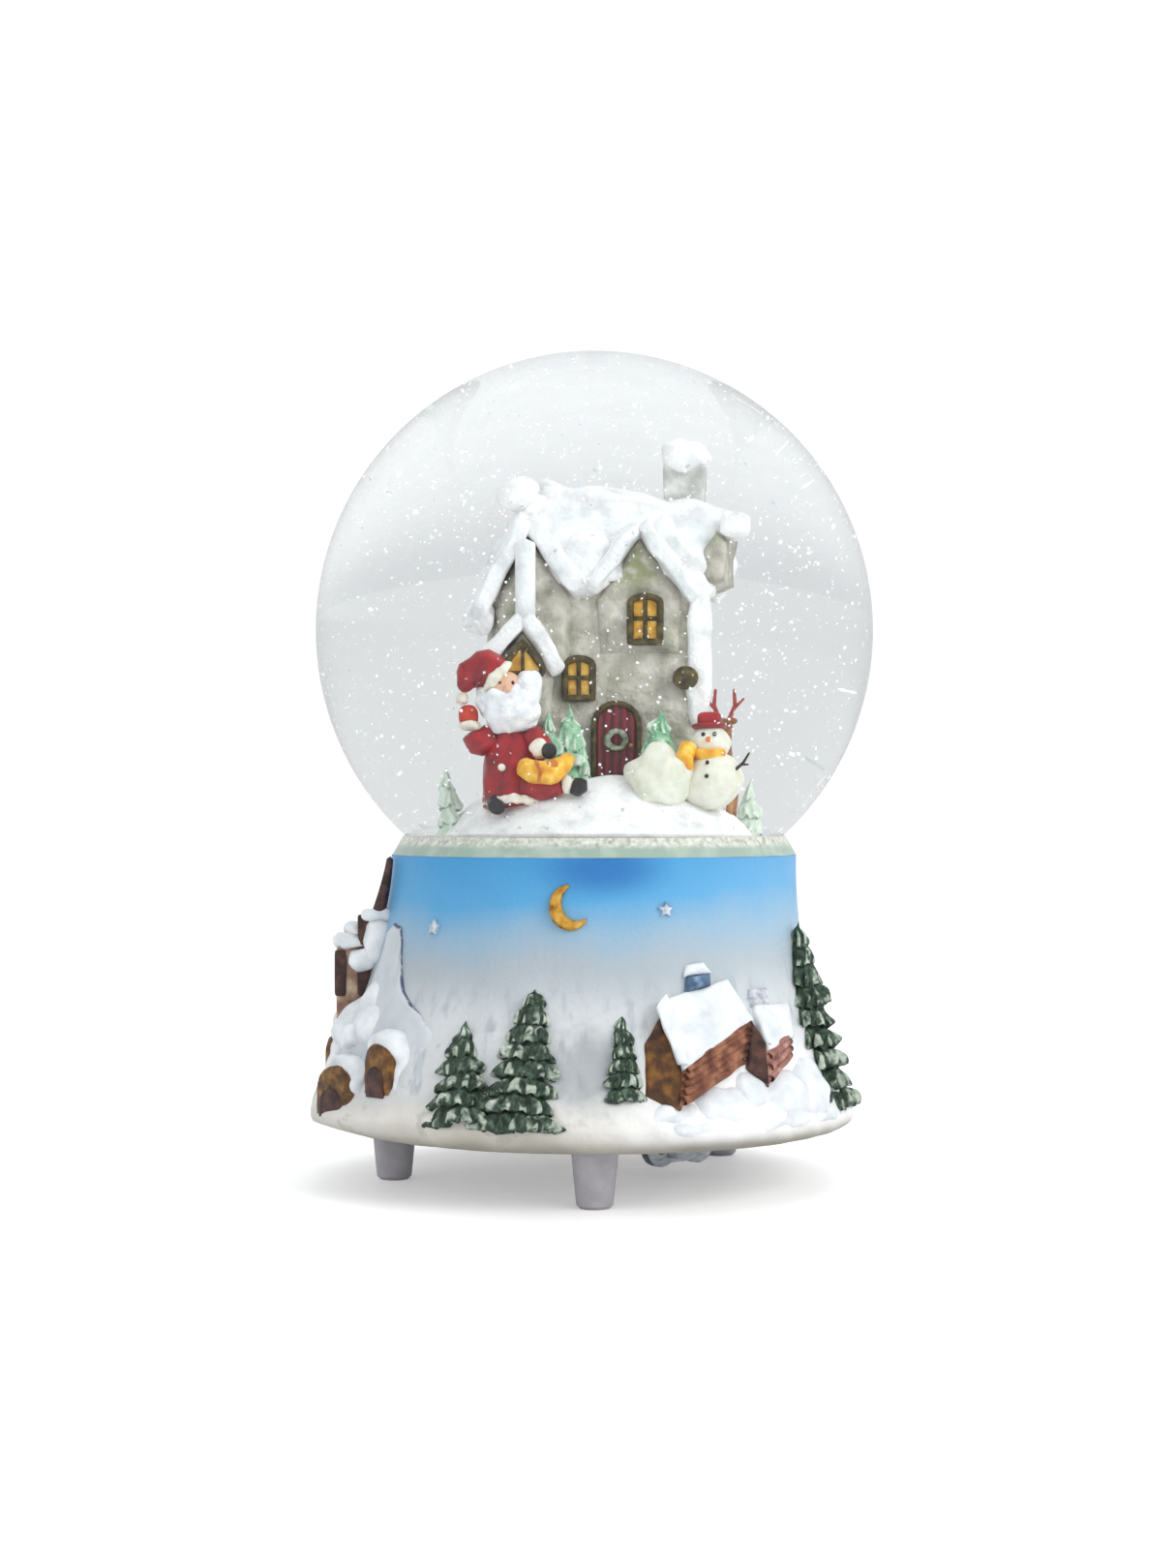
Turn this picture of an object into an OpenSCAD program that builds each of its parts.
// Musical snow globe: a glass water ball on a relief base that hides a wind-up movement.
// Millimetres. The origin is on the globe's axis at the surface that the feet stand on.
// +Z is up and -Y is the front. Angles round the base run from the front towards +X.

/* [Globe] */
// Outside diameter of the glass ball
globe_d = 100; // [90:1:125]
// Thickness of the glass
globe_wall = 2.4; // [1.6:0.1:3.2]
// Outside diameter of the glass neck
neck_d = 60; // [50:1:72]
// Length of the neck between the base's top and the stopper's flange
neck_h = 9; // [6:0.5:12]
// Thickness of the rubber stopper's flange
flange_t = 2.5; // [1.5:0.5:4]
// Gap between the ball's inside and the miniature scene as it goes through the neck
scene_gap = 1.1; // [0.6:0.1:3]
// Height of the ring that covers the joint between ball and base
ring_h = 3.3; // [2:0.1:4.5]

/* [Base] */
// Height of the base from its rim to its top
base_h = 48; // [44:0.5:60]
// Diameter of the base at its rim
rim_d = 96; // [92:1:116]
// Radius of the rounded rim
rim_round = 4; // [2:0.5:6]
// Width of the flat land round the neck's socket
land_w = 6; // [5:0.5:9]
// Thickness of the floor between the neck's socket and the movement
web_t = 3; // [2:0.5:5]
// Diameter of the hollow that holds the movement
cavity_d = 69; // [68:0.5:74]
// Least thickness of the wall at the top of that hollow
wall_min = 3.2; // [2.5:0.1:5]

/* [Underside] */
// Height of the feet below the rim
foot_h = 10; // [9:0.5:16]
// Diameter of a foot where it meets the plate
foot_d = 8.4; // [6:0.1:11]
// Diameter of a foot where it stands
foot_tip_d = 6.2; // [4:0.1:8]
// Radius of the circle that the feet stand on
foot_circle_r = 36; // [33:0.5:38]
// Thickness of the bottom plate
plate_t = 2.5; // [2:0.1:4]
// Depth of the plate's face inside the rim
plate_recess = 1.5; // [0.5:0.1:3]
// Width of the ledge that the plate seats on
ledge_w = 6; // [5:0.5:8]

/* [Movement] */
// Distance of the winding arbor from the globe's axis, towards +X
key_x = 15; // [14.5:0.5:15.5]
// Diameter of the winding arbor
arbor_d = 4; // [3:0.1:5]
// Width of the winding key across its wings
key_w = 16; // [12:0.5:20]
// Thickness of the bedplate
bed_t = 2; // [1.6:0.1:3]
// Diameter of the pinned cylinder
cylinder_d = 13; // [11:0.1:15.6]
// Length of the pinned cylinder
cylinder_l = 15.8; // [14:0.1:15.8]
// Number of notes on the comb
notes = 18; // [12:1:22]
// Radial clearance of every shaft in its bearing
run_gap = 0.05; // [0.03:0.01:0.08]

/* [Hidden] */
$fn = 96;
PRESSURE_ANGLE = 20;
BOND_GAP = 0.05;

// Levels, from the feet up
z_rim = foot_h;
z_plate = z_rim + plate_recess;
z_seat = z_plate + plate_t;
z_bed = z_seat + bed_t;
z_top = z_rim + base_h;
z_neck = z_top - neck_h;
z_flange = z_neck - flange_t;
z_ceiling = z_flange - web_t;

// Globe
globe_r = globe_d / 2;
globe_in_r = globe_r - globe_wall;
neck_r = neck_d / 2;
neck_in_r = neck_r - globe_wall - 0.1;
z_globe = z_top + sqrt(pow(globe_r, 2) - pow(neck_r, 2));
z_plug = z_top + 0.5;
socket_gap = 0.3;
socket_r = neck_r + socket_gap;

// Base
cavity_r = cavity_d / 2;
plate_fit = 0.2;
plate_r = cavity_r + ledge_w;
rim_r = max(rim_d / 2, plate_r + rim_round);
FLARE = 1.8;
flare_share = pow((z_top - z_ceiling) / (base_h - rim_round), FLARE);
top_r = max(socket_r + land_w, (cavity_r + wall_min - rim_r * flare_share) / (1 - flare_share));
// The reliefs are drawn for a base 48 high and 96 wide, and follow both sizes
motif_k = base_h / 48;
motif_w = rim_d / 96;

// Feet and screws under the base
foot_angles = [0, -84, 138];
foot_spigot_d = 4;
plate_screw_angles = [-42, 78, -160];
plate_screw_r = cavity_r + ledge_w / 2;
plate_screw_d = 2.2;

// Great wheel, pinion and cylinder
crown_teeth = 32;
pinion_teeth = 16;
crown_m = 0.65;
crown_r = crown_teeth * crown_m / 2;
crown_face = 1.2;
wheel_z = z_bed + 1;
wheel_t = 1.4;
crown_h = 2.2;
z_mesh = wheel_z + wheel_t + crown_h - 0.8 * crown_m;
z_axis = z_mesh + pinion_teeth * crown_m / 2;
wheel_r = crown_r + crown_face / 2 + 0.6;
arbor_r = arbor_d / 2;
barrel_arbor_r = 1;
pin_out = 0.5;

// Places along the cylinder's axis, measured from the great wheel towards -X
pinion_x = key_x - crown_r - crown_face / 2;
pinion_l = crown_face;
bracket_t = 1.1;
right_bracket_x = pinion_x - 1.2 - bracket_t;
cylinder_x = right_bracket_x - 0.8 - cylinder_l;
gear_l = 1.4;
gear_x = cylinder_x - 0.2 - gear_l;
left_bracket_x = gear_x - 0.4 - bracket_t;

// Governor
gear_teeth = 40;
small_teeth = 10;
gear_m = 0.35;
gear_r = gear_teeth * gear_m / 2;
small_r = small_teeth * gear_m / 2;
wheel_teeth = 24;
wheel_m = 0.36;
worm_wheel_r = wheel_teeth * wheel_m / 2;
worm_r = 1.1;
worm_ecc = 0.26;
worm_pitch = PI * wheel_m;
worm_wheel_y = gear_r + small_r;
worm_wheel_l = 0.9;
worm_wheel_x = left_bracket_x - 0.6 - worm_wheel_l;
worm_x = worm_wheel_x + worm_wheel_l / 2;
worm_y = worm_wheel_y + worm_wheel_r + worm_r + 0.04;
worm_l = 6;
fan_r = 4;
fan_h = 3.2;
z_fan = z_axis + worm_wheel_r + wheel_m + 0.5;
z_arm = z_fan + fan_h + 0.5;
spindle_r = 0.5;
wheel_arbor_r = 0.6;
outer_plate_x = worm_wheel_x - 0.7 - bracket_t;

// Spring housing
housing_r = crown_r - crown_face / 2 - 0.5;
housing_wall = 0.6;
z_housing = wheel_z + wheel_t + 0.4;
housing_h = 10.5;
z_housing_top = z_housing + housing_h;
leg_angles = [60, -60, 130, -130];

// Bedplate outline
bed_x0 = outer_plate_x - 2.4;
bed_x1 = key_x + wheel_r + 0.8;
bed_y0 = -18.5;
bed_y1 = worm_y + fan_r + 1.9;
bed_round = 4;
comb_y = max(cylinder_d / 2 + pin_out + 0.15, 5);

// Miniature scene, drawn for a clear radius of 26.4 and scaled to the neck
scene_r = neck_in_r - scene_gap;
scene_k = scene_r / 26.4;

// ---------- shared shapes ----------

// Radius of the base's outside at a height above the floor
function flare_r(z) = top_r + (rim_r - top_r)
    * pow(max(0, z_top - z) / (base_h - rim_round), FLARE);
function rim_edge_r(z) = rim_r - rim_round
    + sqrt(max(0, pow(rim_round, 2) - pow(rim_round - (z - z_rim), 2)));

// The base's outside as a solid of revolution, grown sideways by t
module drum(t) {
    rise = base_h - rim_round;
    steps = 11;
    edge = [for (a = [0:18:90]) [rim_r - rim_round + rim_round * sin(a) + t,
        z_rim + rim_round - rim_round * cos(a)]];
    side = [for (i = [1:steps]) let (z = z_rim + rim_round + rise * i / steps) [flare_r(z) + t, z]];
    rotate_extrude() polygon(concat([[0, z_rim]], edge, side, [[0, z_top]]));
}

// A flat outline laid on the base's side at an angle from the front, standing proud by depth
module relief(angle, depth) {
    difference() {
        intersection() {
            drum(depth);
            rotate([0, 0, angle]) translate([0, 0, z_rim]) rotate([90, 0, 0])
                linear_extrude(height = rim_r + 4) scale([motif_w, motif_k]) children();
        }
        drum(BOND_GAP);
    }
}

// A fir tree outline: tiers that step out as they go down
function fir_side(w, h, tiers) = [for (i = [1:tiers], j = [0:1])
    j == 0 ? [w / 2 * (0.18 + 0.82 * i / tiers), h * (1 - i / tiers)]
           : [w / 2 * (0.18 + 0.82 * i / tiers) * 0.62, h * (1 - i / tiers) + 0.3]];
module fir(w, h, tiers) {
    side = [for (i = [0:2 * tiers - 2]) fir_side(w, h, tiers)[i]];
    polygon(concat([[0, h]], side, [for (i = [len(side) - 1:-1:0]) [-side[i][0], side[i][1]]]));
}

module star(r) {
    polygon([for (i = [0:9]) let (s = i % 2 == 0 ? r : r * 0.45) [s * sin(36 * i), s * cos(36 * i)]]);
}

// Involute gear outline; slack under 1 thins the teeth for backlash
function inv(a) = tan(a) * 180 / PI - a;
function tooth_half(n, m, r, slack) = 90 / n * slack + inv(PRESSURE_ANGLE)
    - inv(acos(min(1, n * m / 2 * cos(PRESSURE_ANGLE) / r)));
module gear_outline(n, m, slack, turn, add = 0.9, ded = 1.15) {
    pitch = n * m / 2;
    radii = [pitch - ded * m, max(pitch - ded * m, pitch * cos(PRESSURE_ANGLE)) + 0.01, pitch,
        pitch + add * m];
    polygon([for (i = [0:n - 1], j = [0:7]) let (r = radii[j < 4 ? j : 7 - j],
        a = turn + i * 360 / n + (j < 4 ? -1 : 1) * tooth_half(n, m, r, slack)) [r * cos(a), r * sin(a)]]);
}

// Lays an outline drawn in Y and Z along X from x0
module along_x(x0, y, z, l) {
    translate([x0, y, z]) rotate([90, 0, 90]) linear_extrude(height = l) children();
}
module rod_x(x0, x1, y, z, r) {
    along_x(x0, y, z, x1 - x0) circle(r = r);
}

// A slotted pan-head screw: the head's top is at z = 0 and its shank goes down
module screw(d, head_d, head_h, l) {
    difference() {
        union() {
            translate([0, 0, -head_h]) cylinder(d = head_d, h = head_h);
            translate([0, 0, -head_h - l]) cylinder(d = d, h = l + 0.1);
        }
        translate([-head_d, -0.2, -0.4]) cube([2 * head_d, 0.4, 1]);
    }
}
module at_angle(a, r, z) {
    translate([r * sin(a), -r * cos(a), z]) children();
}
module box(x, y, z) {
    translate([x[0], y[0], z[0]]) cube([x[1] - x[0], y[1] - y[0], z[1] - z[0]]);
}
// A pitched roof block along X: eaves at z0, ridge at z1
module pitched_x(x, y, z) {
    along_x(x[0], 0, 0, x[1] - x[0]) polygon([[y[0], z[0]], [y[1], z[0]], [(y[0] + y[1]) / 2, z[1]]]);
}
// The same along Y
module pitched_y(x, y, z) {
    translate([0, y[1], 0]) rotate([90, 0, 0]) linear_extrude(height = y[1] - y[0])
        polygon([[x[0], z[0]], [x[1], z[0]], [(x[0] + x[1]) / 2, z[1]]]);
}

// ---------- base ----------

module base_casting() color("SkyBlue") difference() {
    drum(0);
    translate([0, 0, z_flange]) cylinder(r = socket_r, h = z_top);
    translate([0, 0, z_seat - 1]) cylinder(r = cavity_r, h = z_ceiling - z_seat + 1);
    translate([0, 0, z_rim - 1]) cylinder(r = plate_r + plate_fit, h = z_seat - z_rim + 1);
    for (a = plate_screw_angles)
        at_angle(a, plate_screw_r, z_seat - 1) cylinder(d = plate_screw_d, h = 8);
}

module seat_ring() color("Beige") difference() {
    translate([0, 0, z_top]) cylinder(r1 = top_r, r2 = ball_r_at(z_top + ring_h) + 0.5, h = ring_h);
    translate([0, 0, z_globe]) sphere(r = globe_r + BOND_GAP);
    translate([0, 0, z_top - 1]) cylinder(r = neck_r + BOND_GAP, h = 2);
}
function ball_r_at(z) = sqrt(pow(globe_r, 2) - pow(z_globe - z, 2));

// The ball's neck has a bore that the stopper fills
module glass_globe() color("LightCyan", 0.3) difference() {
    union() {
        translate([0, 0, z_globe]) sphere(r = globe_r);
        translate([0, 0, z_neck]) cylinder(r = neck_r, h = neck_h + 1);
    }
    translate([0, 0, z_globe]) sphere(r = globe_in_r);
    translate([0, 0, z_neck - 1]) cylinder(r = neck_in_r, h = neck_h + 8);
}

module rubber_stopper() color("DimGray") {
    translate([0, 0, z_flange]) cylinder(r = neck_r - 0.2, h = flange_t);
    translate([0, 0, z_neck]) cylinder(r = neck_in_r, h = z_plug - z_neck);
}

// ---------- what is inside the ball ----------

// Everything in the scene is drawn at its design size, with z = 0 on the stopper's face
module in_scene() {
    translate([0, 0, z_plug]) scale(scene_k) children();
}
GROUND_TOP = 17.4;
GROUND_EDGE = 4.6;
GROUND_R = 26.4;
PLATEAU_R = 12;

module ground_mound() {
    steps = 8;
    slope = [for (i = [0:steps]) let (u = i / steps) [GROUND_R + (PLATEAU_R - GROUND_R) * u,
        GROUND_EDGE + (GROUND_TOP - GROUND_EDGE) * pow(sin(90 * u), 0.9)]];
    rotate_extrude() polygon(concat([[0, 0], [GROUND_R, 0]], slope, [[0, GROUND_TOP]]));
}
module terrace() {
    box([-17, 20], [-9.5, 9.5], [GROUND_TOP - 6, GROUND_TOP]);
}
module scene_ground() color("White") in_scene() union() {
    ground_mound();
    terrace();
}

// Trims what stands on the ground to the ground's own surface
module on_ground() {
    difference() {
        union() children();
        ground_mound();
        terrace();
    }
}

WALL_TOP = 43;
module cottage_core() {
    box([-14.5, 14.5], [-7, 8], [GROUND_TOP, WALL_TOP]);
    pitched_y([-15.5, -4], [-8, 6], [WALL_TOP - 6, 53]);
    pitched_y([1, 11.2], [-8, 6], [WALL_TOP - 4, 50.4]);
}
module cottage_walls() color("Silver") in_scene() difference() {
    cottage_core();
    door_cut();
    window_cuts();
    porch_block();
    roof_block();
    chimney_block();
}
module roof_block() {
    pitched_x([-13.5, 22], [-6.5, 11], [44, 60]);
}
module cottage_roof() color("Snow") in_scene() difference() {
    roof_block();
    chimney_block();
}
module chimney_block() {
    box([9, 15], [1.5, 7], [49, 64]);
}
module cottage_chimney() color("Gray") in_scene() union() {
    chimney_block();
    translate([12, 4.25, 64]) cylinder(r1 = 3.4, r2 = 1.6, h = 1.8);
}
module door_cut() {
    translate([3.1, -6.2, GROUND_TOP]) rotate([90, 0, 0]) linear_extrude(height = 3) {
        translate([-3.3, 0]) square([6.6, 7]);
        translate([0, 7]) circle(r = 3.3);
    }
}
module cottage_door() color("Maroon") in_scene() {
    intersection() {
        door_cut();
        box([-1, 8], [-7.2, -6.2], [GROUND_TOP, GROUND_TOP + 11]);
    }
}
module pane(x, z, w, h, depth) {
    translate([x - w / 2, -7 - depth / 2, z - h / 2]) cube([w, depth, h]);
}
module window_cuts() {
    pane(7.1, 40.6, 4.8, 6.6, 1.6);
    pane(-2.2, 32.4, 4.4, 5.8, 1.6);
    pane(12, 31.6, 3.2, 3.8, 1.6);
}
module cottage_windows() color("Goldenrod") in_scene() {
    intersection() {
        window_cuts();
        box([-8, 16], [-7, -6.2], [25, 46]);
    }
}
module porch_block() {
    box([-15, -6], [-12, -6.6], [GROUND_TOP, 33]);
    pitched_y([-16, -5], [-12.6, -6.6], [33, 40]);
}
module porch_gable() color("Tan") in_scene() porch_block();

// A bearded figure with one arm raised, on the slope in front of the porch
FIGURE = [-11.4, -16.6, 11.6];
module waving_figure() color("Crimson") in_scene() on_ground() translate(FIGURE) {
    union() {
        cylinder(r1 = 5, r2 = 3, h = 12.5);
        translate([-0.6, -0.6, 16]) sphere(r = 4.2);
        translate([-3.8, -0.2, 17.6]) rotate([0, -48, 0]) cylinder(r1 = 3, r2 = 0.7, h = 5);
        translate([-5.4, -0.6, 11.6]) sphere(r = 1.9);
        translate([-1.8, 0, 10]) rotate([0, -68, 0]) cylinder(r1 = 2, r2 = 1.5, h = 3.4);
    }
}
module gift_parcel() color("Gold") in_scene() translate(FIGURE)
    box([1.4, 8.2], [-6.6, -4.8], [3.6, 7.8]);

module snowman() color("White") in_scene() on_ground() translate([17.2, -12.6, 11]) {
    union() {
        translate([0, 0, 4]) sphere(r = 4.6);
        translate([-0.2, 0, 10.2]) sphere(r = 3.1);
        translate([-0.6, 0, 12.2]) cylinder(r = 2.9, h = 0.7);
        translate([-0.6, 0, 12.8]) cylinder(r = 1.9, h = 2.2);
    }
}
module reindeer() color("Sienna") in_scene() on_ground() translate([18.2, -3.2, 14]) {
    union() {
        translate([0, 0, 5.4]) rotate([-90, 0, 0]) cylinder(r = 1.9, h = 6);
        translate([0, 0.4, 5.4]) rotate([18, 0, 0]) cylinder(r = 1.2, h = 7);
        translate([0, -2.4, 11.4]) sphere(r = 1.8);
        for (x = [-1, 1], y = [0.9, 5.1]) translate([x, y, 0]) cylinder(r = 0.6, h = 5);
        for (s = [-1, 1]) translate([0, -2.2, 12.6]) rotate([0, 24 * s, 0]) cylinder(r = 0.4, h = 4.6);
    }
}
module shrub(x, y, z, r, h) {
    translate([x, y, z]) cylinder(r1 = r, r2 = r * 0.3, h = h);
}
module garden_shrubs() color("SeaGreen") in_scene() on_ground() {
    shrub(-4.2, -13.4, 12.5, 2.6, 13);
    shrub(9.6, -12.4, 13, 2.4, 12);
    shrub(-21.3, -5, 8.5, 2.6, 14);
    shrub(20.6, 9, 8.5, 2.8, 15);
}

// Loose flakes lie as a collar between the scene and the glass
SNOW_H = 4.4;
module settled_snow() color("White") {
    intersection() {
        union() {
            translate([0, 0, z_globe]) sphere(r = globe_in_r - BOND_GAP);
            translate([0, 0, z_plug]) cylinder(r = neck_in_r - BOND_GAP, h = z_globe - z_plug);
        }
        translate([0, 0, z_plug]) difference() {
            cylinder(r1 = scene_r + 8, r2 = scene_r + 4, h = SNOW_H * scene_k);
            translate([0, 0, -1]) cylinder(r = scene_r + BOND_GAP, h = SNOW_H * scene_k + 2);
        }
    }
}

// The liquid, less a simple envelope of the scene
module water_fill() color("AliceBlue", 0.2) difference() {
    intersection() {
        translate([0, 0, z_globe]) sphere(r = globe_in_r - BOND_GAP);
        translate([0, 0, z_plug + 0.02]) cylinder(r = globe_r, h = globe_d);
    }
    translate([0, 0, z_plug]) cylinder(r = scene_r + 8.2, h = SNOW_H * scene_k + 0.1);
    in_scene() {
        translate([0, 0, -1]) cylinder(r = GROUND_R + 0.2, h = 29);
        box([-16.2, 22.2], [-13, 11.2], [27, 60.2]);
        box([8.8, 15.6], [0.5, 8], [60, 66]);
        box([-22.6, -5], [-24, -12], [27, 36]);
        box([13, 23], [-12, 3.5], [27, 32.5]);
    }
}

// ---------- relief castings on the base ----------

module moon_relief() color("Goldenrod") relief(-6, 1.1) translate([0, 40]) rotate(42)
    difference() {
        circle(r = 3.9);
        translate([0, 1.9]) circle(r = 3.3);
    }
module star_reliefs() color("Gainsboro") {
    relief(18.4, 0.8) translate([0, 39.4]) star(1.3);
    relief(-46, 0.8) translate([0, 36]) star(1.3);
    relief(160, 0.8) translate([0, 39]) star(1.3);
}
module front_pines() color("DarkGreen") {
    relief(-13, 2.1) translate([0, 4.4]) fir(17.4, 22, 6);
    relief(-30.5, 1.7) translate([0, 4.6]) fir(10.6, 16, 5);
    relief(5.6, 1.5) translate([0, 7.6]) fir(7.2, 14, 4);
}
module side_pine() color("DarkGreen") relief(78, 2.6) translate([0, 3.8]) fir(13, 31, 7);
module back_pines() color("DarkGreen") {
    relief(120, 2.0) translate([0, 4.2]) fir(14, 25, 6);
    relief(143, 1.7) translate([0, 4.6]) fir(11, 18, 5);
    relief(-150, 2.1) translate([0, 4.2]) fir(16, 28, 6);
    relief(-127, 1.7) translate([0, 5]) fir(11, 17, 5);
}
module hill_relief() color("White") relief(-60, 1.4)
    polygon([[-3.2, 5], [-3.2, 36.4], [0, 36], [5, 32], [9.5, 26], [12.7, 21], [15, 14], [16.6, 5]]);

// The log cabin, drawn with x along the base's side and z above the rim
CABIN_ANGLE = 32;
cabin_out = flare_r(z_rim + 9.5 * motif_k) + 1.6;
module cabin_frame() {
    rotate([0, 0, CABIN_ANGLE]) translate([0, 0, z_rim]) children();
}
module cabin_relief() color("Sienna") difference() {
    cabin_frame() union() {
        box([-12.5, 5] * motif_w, [-cabin_out + 0.4, -30], [9.5, 19.5] * motif_k);
        box([5, 13.5] * motif_w, [-cabin_out + 1, -30], [9.5, 15] * motif_k);
        pitched_y([-13, -4.6] * motif_w, [-cabin_out - 0.3, -34], [16.5, 23.6] * motif_k);
        box([-9, -6.4] * motif_w, [-cabin_out + 3.4, -34], [22, 26.6] * motif_k);
        box([4.6, 6.8] * motif_w, [-cabin_out + 3.4, -34], [20, 24.6] * motif_k);
    }
    drum(BOND_GAP);
    cabin_roofs();
}
module cabin_roofs() {
    cabin_frame() {
        along_x(-4.4 * motif_w, 0, 0, 12.4 * motif_w) polygon([[-cabin_out - 0.6, 17.2 * motif_k],
            [-cabin_out - 0.6, 18.8 * motif_k], [-cabin_out + 6, 24.4 * motif_k],
            [-34, 24.4 * motif_k], [-34, 17.2 * motif_k]]);
        along_x(8 * motif_w, 0, 0, 6.6 * motif_w) polygon([[-cabin_out + 0.6, 14 * motif_k],
            [-cabin_out + 0.6, 15.2 * motif_k], [-cabin_out + 5, 19 * motif_k],
            [-34, 19 * motif_k], [-34, 14 * motif_k]]);
    }
}
module cabin_snow() color("White") {
    difference() {
        cabin_roofs();
        drum(BOND_GAP);
    }
    relief(27, 1.6) polygon([[-11, 4.4], [-11, 6.4], [-6, 7.4], [2, 7.8], [10, 7], [14, 6.2], [14, 4.4]]);
}

// The village by the left: a church tower, a thin spire and two gabled houses
VILLAGE_ANGLE = -84;
village_out = flare_r(z_rim + 9 * motif_k) + 1.4;
module village_frame() {
    rotate([0, 0, VILLAGE_ANGLE]) translate([0, 0, z_rim]) children();
}
module village_relief() color("Peru") {
    difference() {
        village_frame() union() {
            box([-4, 4] * motif_w, [-village_out + 1.1, -34], [12.6, 31.5] * motif_k);
            box([-13.6, -3] * motif_w, [-village_out + 0.4, -34], [9, 13.4] * motif_k);
            box([3, 13.6] * motif_w, [-village_out + 0.4, -34], [9, 15.4] * motif_k);
        }
        drum(BOND_GAP);
        village_roofs();
    }
    relief(VILLAGE_ANGLE, 2.2) polygon([[5.4, 28], [9.4, 28], [7.7, 44.6], [7.1, 44.6]]);
}
module village_roofs() {
    village_frame() {
        pitched_y([-14.4, -2.6] * motif_w, [-village_out, -34], [13, 20] * motif_k);
        pitched_y([2.6, 14.4] * motif_w, [-village_out, -34], [15, 21.6] * motif_k);
        translate([0, -village_out + 1.1 + 4 * motif_w, 31 * motif_k])
            rotate([0, 0, 45]) cylinder(r1 = 6.4 * motif_w, r2 = 0.5, h = 7 * motif_k, $fn = 4);
    }
}
module village_snow() color("White") difference() {
    village_roofs();
    drum(BOND_GAP);
}

// ---------- underside ----------

module bottom_plate() color("Gray") difference() {
    translate([0, 0, z_plate]) cylinder(r = plate_r, h = plate_t);
    translate([key_x, 0, z_plate - 1]) cylinder(r = arbor_r + 2.4, h = plate_t + 2);
    for (a = foot_angles) at_angle(a, foot_circle_r, z_plate - 1) cylinder(d = foot_spigot_d, h = plate_t + 2);
    for (a = plate_screw_angles)
        at_angle(a, plate_screw_r, z_plate - 1) cylinder(d = plate_screw_d + 0.4, h = plate_t + 2);
    for (p = bed_screw_places) translate([p[0], p[1], z_plate - 1]) cylinder(d = 2.6, h = plate_t + 2);
}
module plate_screws() color("Silver") for (a = plate_screw_angles)
    at_angle(a, plate_screw_r, z_plate - 1.2) rotate([180, 0, 0]) screw(plate_screw_d, 4.4, 1.2, plate_t + 6);

// A tapered peg with a spigot that is pressed up through the plate
module foot(a) {
    at_angle(a, foot_circle_r, 0) {
        cylinder(d1 = foot_tip_d - 1.2, d2 = foot_tip_d, h = 0.6);
        translate([0, 0, 0.6]) cylinder(d1 = foot_tip_d, d2 = foot_d, h = z_plate - 0.6);
        translate([0, 0, z_plate]) cylinder(d = foot_spigot_d, h = plate_t);
    }
}
module front_foot() color("DarkGray") foot(foot_angles[0]);
module left_foot() color("DarkGray") foot(foot_angles[1]);
module back_foot() color("DarkGray") foot(foot_angles[2]);

// ---------- movement ----------

bed_screw_places = [[bed_x0 + 4, bed_y0 + 4], [key_x - 1.5, bed_y0 + 3], [key_x - 1.5, bed_y1 - 4.6]];
comb_x0 = cylinder_x + 0.3;
comb_x1 = comb_x0 + cylinder_l - 0.6;
COMB_T = 0.9;
comb_root_y = comb_y + 5;
comb_back_y = comb_root_y + 6.2;
comb_screw_xs = [comb_x0 + 3.4, comb_x1 - 3.4];
comb_screw_y = (comb_root_y + comb_back_y) / 2;
bracket_screw_places = [[right_bracket_x - 0.5, 8.2], [right_bracket_x - 0.5, -8.2],
    [left_bracket_x - 2.6, -3.6]];
governor_screw_places = [[worm_x, worm_wheel_y - 2.6], [worm_x + 0.2, worm_y + 3]];
SMALL_SCREW_D = 1.4;
housing_screw_r = wheel_r + 3.6;

// Die-cast bed with the ledge that the comb is clamped on
module bedplate() color("DarkGray") difference() {
    union() {
        translate([0, 0, z_seat]) linear_extrude(height = bed_t) union() {
            translate([bed_x0 + bed_round, bed_y0]) square([bed_x1 - bed_x0 - 2 * bed_round, bed_y1 - bed_y0]);
            translate([bed_x0, bed_y0 + bed_round]) square([bed_x1 - bed_x0, bed_y1 - bed_y0 - 2 * bed_round]);
            for (x = [bed_x0 + bed_round, bed_x1 - bed_round], y = [bed_y0 + bed_round, bed_y1 - bed_round])
                translate([x, y]) circle(r = bed_round);
        }
        box([comb_x0, comb_x1], [comb_root_y + 0.2, comb_back_y], [z_seat, z_axis - COMB_T / 2]);
    }
    translate([key_x, 0, z_seat - 1]) cylinder(r = arbor_r + run_gap, h = bed_t + 2);
    for (p = bed_screw_places) translate([p[0], p[1], z_seat - 1]) cylinder(d = 2.2, h = bed_t + 2);
    for (x = comb_screw_xs) translate([x, comb_screw_y, z_axis - 6]) cylinder(d = SMALL_SCREW_D, h = 7);
    for (p = concat(bracket_screw_places, governor_screw_places))
        translate([p[0], p[1], z_seat - 1]) cylinder(d = SMALL_SCREW_D, h = bed_t + 2);
    for (a = leg_angles) translate([key_x, 0, 0]) rotate([0, 0, a])
        translate([housing_screw_r, 0, z_seat - 1]) cylinder(d = SMALL_SCREW_D, h = bed_t + 2);
}
module bed_screws() color("Silver") for (p = bed_screw_places)
    translate([p[0], p[1], z_plate - 1.2]) rotate([180, 0, 0]) screw(2.2, 4.2, 1.2, plate_t + bed_t);

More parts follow.
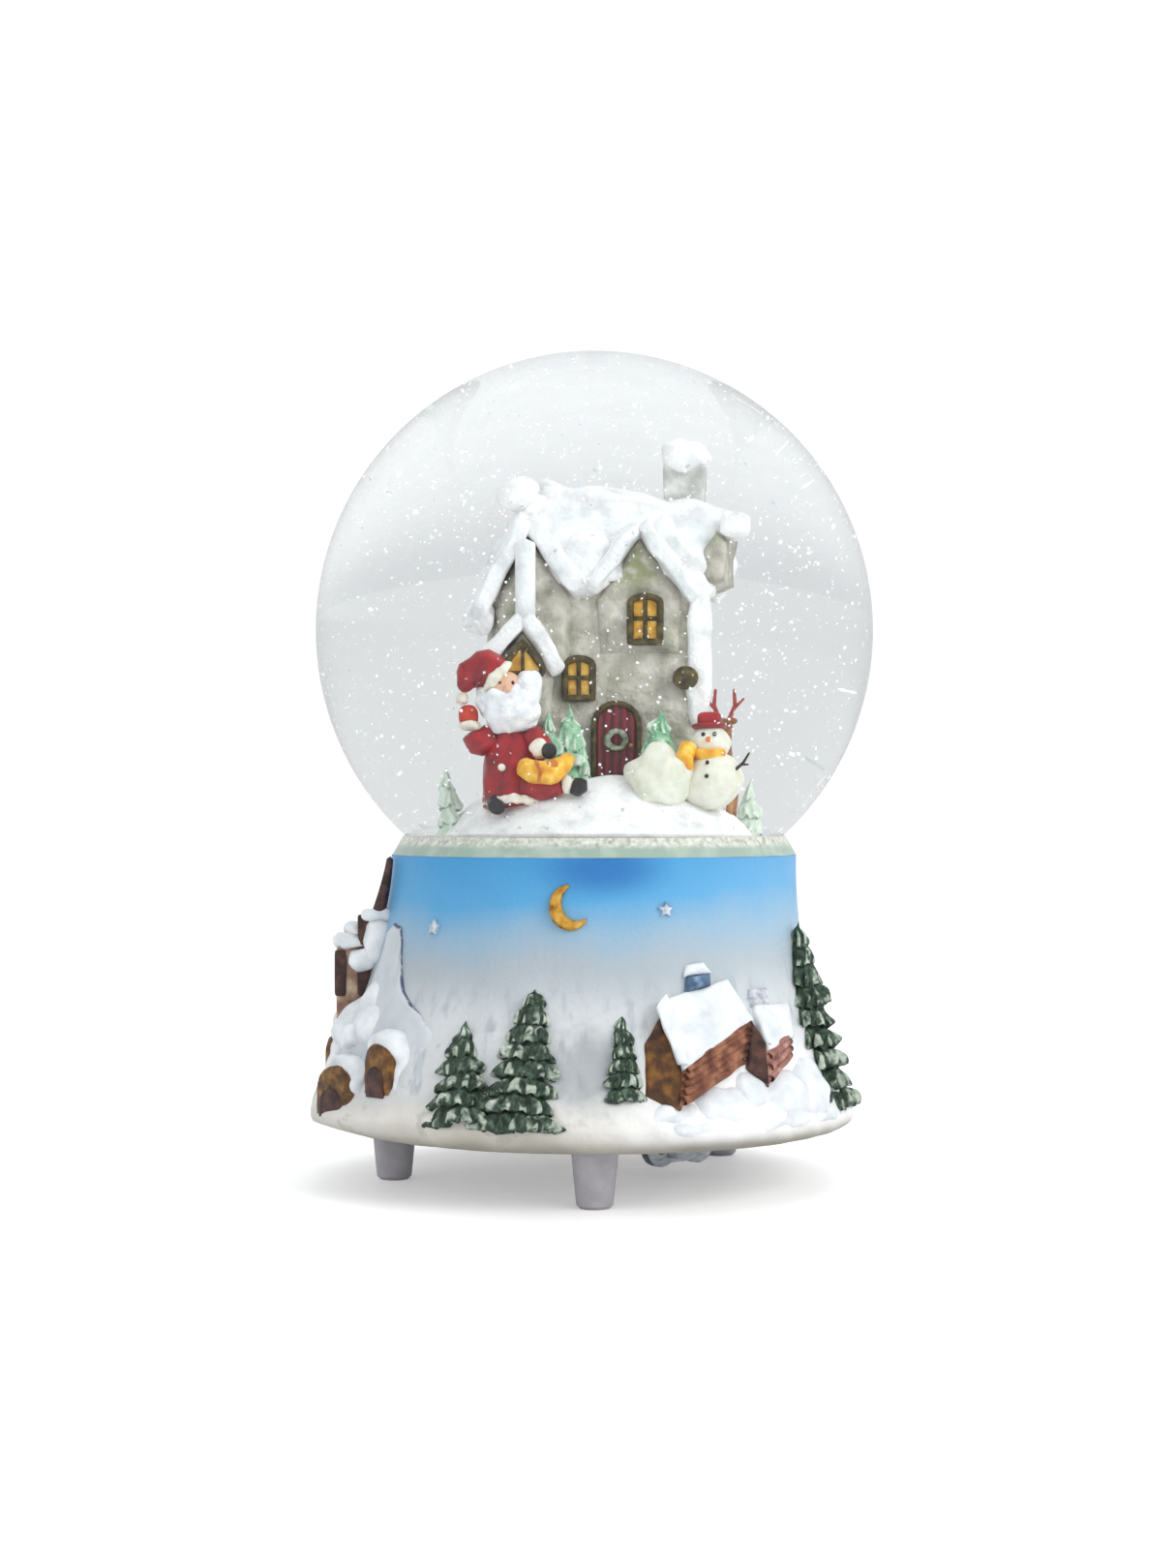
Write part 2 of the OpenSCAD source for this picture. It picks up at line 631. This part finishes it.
// Tuned steel comb: one tooth a note, cut from one strip
module comb() color("SlateGray") {
    pitch = (comb_x1 - comb_x0) / notes;
    difference() {
        union() {
            box([comb_x0, comb_x1], [comb_root_y, comb_back_y], [z_axis - COMB_T / 2, z_axis + COMB_T / 2]);
            for (i = [0:notes - 1])
                box([comb_x0 + pitch * (i + 0.2), comb_x0 + pitch * (i + 0.8)], [comb_y, comb_root_y + 0.1],
                    [z_axis - COMB_T / 2, z_axis]);
        }
        for (x = comb_screw_xs) translate([x, comb_screw_y, z_axis - 1]) cylinder(d = SMALL_SCREW_D + 0.2, h = 2);
    }
}
module comb_screws() color("Silver") for (x = comb_screw_xs)
    translate([x, comb_screw_y, z_axis + COMB_T / 2 + 0.9]) screw(SMALL_SCREW_D, 3, 0.9, COMB_T + 4.6);

// A cup over the mainspring, held above the great wheel on four legs
module spring_housing() color("Goldenrod") translate([key_x, 0, 0]) difference() {
    union() {
        translate([0, 0, z_housing]) cylinder(r = housing_r, h = housing_h);
        for (a = leg_angles) rotate([0, 0, a]) {
            box([housing_r - 1, wheel_r + 2], [-2, 2], [z_mesh + 1.2, z_mesh + 2.6]);
            box([wheel_r + 0.6, wheel_r + 2], [-2, 2], [z_bed, z_mesh + 2]);
            box([wheel_r + 0.6, housing_screw_r + 2], [-2, 2], [z_bed, z_bed + 1]);
        }
    }
    translate([0, 0, z_housing - 1]) cylinder(r = housing_r - housing_wall, h = housing_h + 1 - 1.2);
    translate([0, 0, z_housing]) cylinder(r = arbor_r + run_gap, h = housing_h + 1);
    for (a = leg_angles) rotate([0, 0, a])
        translate([housing_screw_r, 0, z_bed - 1]) cylinder(d = SMALL_SCREW_D, h = 4);
}
module housing_screws() color("Silver") for (a = leg_angles) translate([key_x, 0, 0]) rotate([0, 0, a])
    translate([housing_screw_r, 0, z_bed + 1.8]) screw(SMALL_SCREW_D, 2.6, 0.8, 2.4);

// The mainspring is a flat strip in a spiral from the arbor to the cup
SPRING_TURNS = 4.5;
module mainspring() color("SteelBlue") {
    r0 = arbor_r + 1.2;
    r1 = housing_r - housing_wall - 0.4;
    steps = round(SPRING_TURNS * 20);
    edge = [for (i = [0:steps]) let (a = i * 18, r = r0 + (r1 - r0) * i / steps) [a, r]];
    translate([key_x, 0, z_housing + 0.4]) linear_extrude(height = housing_h - 2.2)
        polygon(concat([for (p = edge) [(p[1] + 0.15) * cos(p[0]), (p[1] + 0.15) * sin(p[0])]],
            [for (i = [steps:-1:0]) [(edge[i][1] - 0.15) * cos(edge[i][0]), (edge[i][1] - 0.15) * sin(edge[i][0])]]));
}
key_top = z_plate - 0.6;
module winding_arbor() color("Silver") translate([key_x, 0, 0]) union() {
    translate([0, 0, key_top - 5]) cylinder(r = arbor_r, h = z_housing_top + 1 - key_top + 5);
    translate([0, 0, z_housing + 0.3]) cylinder(r = arbor_r + 0.8, h = housing_h - 2);
}
module great_wheel() color("Gold") translate([key_x, 0, 0]) {
    half = PI * crown_m / 4 * 0.78;
    lean = tan(PRESSURE_ANGLE);
    low = 1.15 * crown_m;
    high = 0.8 * crown_m;
    difference() {
        union() {
            translate([0, 0, wheel_z]) cylinder(r = wheel_r, h = wheel_t);
            translate([0, 0, wheel_z]) difference() {
                cylinder(r = crown_r + crown_face / 2, h = z_mesh - low - wheel_z);
                translate([0, 0, wheel_t]) cylinder(r = crown_r - crown_face / 2, h = 9);
            }
            for (i = [0:crown_teeth - 1]) rotate([0, 0, (i + 0.5) * 360 / crown_teeth])
                along_x(crown_r - crown_face / 2, 0, z_mesh, crown_face)
                    polygon([[-half - low * lean, -low - 0.2], [half + low * lean, -low - 0.2],
                        [half - high * lean, high], [-half + high * lean, high]]);
        }
        translate([0, 0, wheel_z - 1]) cylinder(r = arbor_r, h = wheel_t + 2);
    }
}
// Butterfly key screwed on the arbor's end
KEY_T = 1.8;
KEY_BOTTOM = 2;
module winding_key() color("Silver") translate([key_x, 0, 0]) rotate([0, 0, 40]) difference() {
    union() {
        translate([0, 0, KEY_BOTTOM + 1.5]) cylinder(r = arbor_r + 1.2, h = key_top - KEY_BOTTOM - 1.5);
        translate([0, KEY_T / 2, 0]) rotate([90, 0, 0]) linear_extrude(height = KEY_T) difference() {
            union() {
                for (s = [-1, 1]) translate([s * (key_w / 2 - 3.6), KEY_BOTTOM + 3.6]) circle(r = 3.6);
                translate([-key_w / 2 + 3.6, KEY_BOTTOM + 0.6]) square([key_w - 7.2, 6]);
            }
            for (s = [-1, 1]) translate([s * (key_w / 2 - 3.4), KEY_BOTTOM + 3.6]) circle(r = 1.4);
        }
    }
    translate([0, 0, key_top - 5]) cylinder(r = arbor_r, h = 6);
}

// Brass tube with end walls; its pins lie on the notes' tracks
module pinned_cylinder() color("Goldenrod") {
    pins = 54;
    pitch = (comb_x1 - comb_x0) / notes;
    difference() {
        union() {
            rod_x(cylinder_x, cylinder_x + cylinder_l, 0, z_axis, cylinder_d / 2);
            for (i = [0:pins - 1]) translate([comb_x0 + pitch * ((i * 7) % notes + 0.5), 0, z_axis])
                rotate([(i * 137) % 360, 0, 0]) cylinder(r = 0.2, h = cylinder_d / 2 + pin_out, $fn = 16);
        }
        rod_x(cylinder_x + 1, cylinder_x + cylinder_l - 1, 0, z_axis, cylinder_d / 2 - 0.7);
        rod_x(cylinder_x - 1, cylinder_x + cylinder_l + 1, 0, z_axis, barrel_arbor_r);
    }
}
module cylinder_arbor() color("Silver")
    rod_x(left_bracket_x - 0.2, pinion_x + pinion_l, 0, z_axis, barrel_arbor_r);
module cylinder_pinion() color("Gold") along_x(pinion_x, 0, z_axis, pinion_l) difference() {
    gear_outline(pinion_teeth, crown_m, 0.8, 0, 0.75);
    circle(r = barrel_arbor_r);
}
module cylinder_gear() color("Gold") along_x(gear_x, 0, z_axis, gear_l) difference() {
    gear_outline(gear_teeth, gear_m, 0.8, 0, 0.8);
    circle(r = barrel_arbor_r);
}
module right_bracket() color("Silver") difference() {
    union() {
        box([right_bracket_x, right_bracket_x + bracket_t], [-4, 4], [z_bed, z_axis + 3.5]);
        box([right_bracket_x - 2, right_bracket_x + bracket_t], [-10, 10], [z_bed, z_bed + 1]);
    }
    rod_x(right_bracket_x - 1, right_bracket_x + bracket_t + 1, 0, z_axis, barrel_arbor_r + run_gap);
    for (i = [0, 1]) translate([bracket_screw_places[i][0], bracket_screw_places[i][1], z_bed - 1])
        cylinder(d = SMALL_SCREW_D, h = 4);
}
module left_bracket() color("Silver") difference() {
    union() {
        box([left_bracket_x, left_bracket_x + bracket_t], [-4, 3.6], [z_bed, z_axis + 3.5]);
        box([left_bracket_x - 5, left_bracket_x + bracket_t], [-6, -0.6], [z_bed, z_bed + 1]);
    }
    rod_x(left_bracket_x - 1, left_bracket_x + bracket_t + 1, 0, z_axis, barrel_arbor_r + run_gap);
    translate([bracket_screw_places[2][0], bracket_screw_places[2][1], z_bed - 1])
        cylinder(d = SMALL_SCREW_D, h = 4);
}
module bracket_screws() color("Silver") for (p = bracket_screw_places)
    translate([p[0], p[1], z_bed + 1.8]) screw(SMALL_SCREW_D, 2.6, 0.8, 2.4);

// The governor's frame: two cheeks for the worm wheel and a mast over the fan
module governor_frame() color("Silver") difference() {
    union() {
        box([outer_plate_x, left_bracket_x + bracket_t], [worm_wheel_y - 4.4, bed_y1 - 0.2], [z_bed, z_bed + 1]);
        for (x = [left_bracket_x, outer_plate_x])
            box([x, x + bracket_t], [worm_wheel_y - 4.4, worm_wheel_y + 2.6], [z_bed, z_axis + 2.4]);
        box([worm_x - 2.4, worm_x + 2.4], [worm_y + fan_r + 0.5, bed_y1 - 0.2], [z_bed, z_arm + 1]);
        box([worm_x - 2.4, worm_x + 2.4], [worm_y - 2, bed_y1 - 0.2], [z_arm, z_arm + 1]);
        translate([worm_x, worm_y, z_bed]) cylinder(r = 1.6, h = 2);
    }
    rod_x(outer_plate_x - 1, left_bracket_x + bracket_t + 1, worm_wheel_y, z_axis, wheel_arbor_r + run_gap);
    translate([worm_x, worm_y, z_bed + 0.6]) cylinder(r = spindle_r + run_gap, h = z_arm);
    for (p = governor_screw_places) translate([p[0], p[1], z_bed - 1]) cylinder(d = SMALL_SCREW_D, h = 3);
}
module governor_screws() color("Silver") for (p = governor_screw_places)
    translate([p[0], p[1], z_bed + 1.7]) screw(SMALL_SCREW_D, 2.2, 0.7, 2.4);

module worm_wheel() color("WhiteSmoke") along_x(worm_wheel_x, worm_wheel_y, z_axis, worm_wheel_l) difference() {
    gear_outline(wheel_teeth, wheel_m, 0.62, 0, 0.6, 1.1);
    circle(r = wheel_arbor_r);
}
module worm_wheel_arbor() color("Silver") {
    rod_x(outer_plate_x, gear_x + gear_l, worm_wheel_y, z_axis, wheel_arbor_r);
    along_x(gear_x, worm_wheel_y, z_axis, gear_l) gear_outline(small_teeth, gear_m, 0.78, 180 / small_teeth, 0.8);
}
// Single-start worm: an off-centre disc swept up a right-hand helix
module worm() color("Gold") {
    turns = worm_l / worm_pitch;
    translate([worm_x, worm_y, z_axis - worm_l / 2]) rotate([0, 0, 90 - 180 * turns])
        linear_extrude(height = worm_l, twist = -360 * turns, slices = round(turns * 16), $fn = 24) difference() {
            translate([worm_ecc, 0]) circle(r = worm_r - 0.06);
            circle(r = spindle_r + 0.06);
        }
}
module fan_spindle() color("Silver")
    translate([worm_x, worm_y, z_bed + 0.7]) cylinder(r = spindle_r, h = z_arm + 0.9 - z_bed - 0.7);
module air_fan() color("Silver") translate([worm_x, worm_y, z_fan]) difference() {
    union() {
        cylinder(r = 1.1, h = fan_h);
        box([-fan_r, fan_r], [-0.15, 0.15], [0, fan_h]);
    }
    translate([0, 0, -1]) cylinder(r = spindle_r, h = fan_h + 2);
}

base_casting();
seat_ring();
glass_globe();
rubber_stopper();
water_fill();
settled_snow();
scene_ground();
cottage_walls();
cottage_roof();
cottage_chimney();
cottage_door();
cottage_windows();
porch_gable();
waving_figure();
gift_parcel();
snowman();
reindeer();
garden_shrubs();
moon_relief();
star_reliefs();
front_pines();
side_pine();
back_pines();
cabin_relief();
cabin_snow();
village_relief();
village_snow();
hill_relief();
bottom_plate();
plate_screws();
front_foot();
left_foot();
back_foot();
bedplate();
bed_screws();
comb();
comb_screws();
spring_housing();
housing_screws();
mainspring();
winding_arbor();
great_wheel();
winding_key();
pinned_cylinder();
cylinder_arbor();
cylinder_pinion();
cylinder_gear();
right_bracket();
left_bracket();
bracket_screws();
governor_frame();
governor_screws();
worm_wheel();
worm_wheel_arbor();
worm();
fan_spindle();
air_fan();
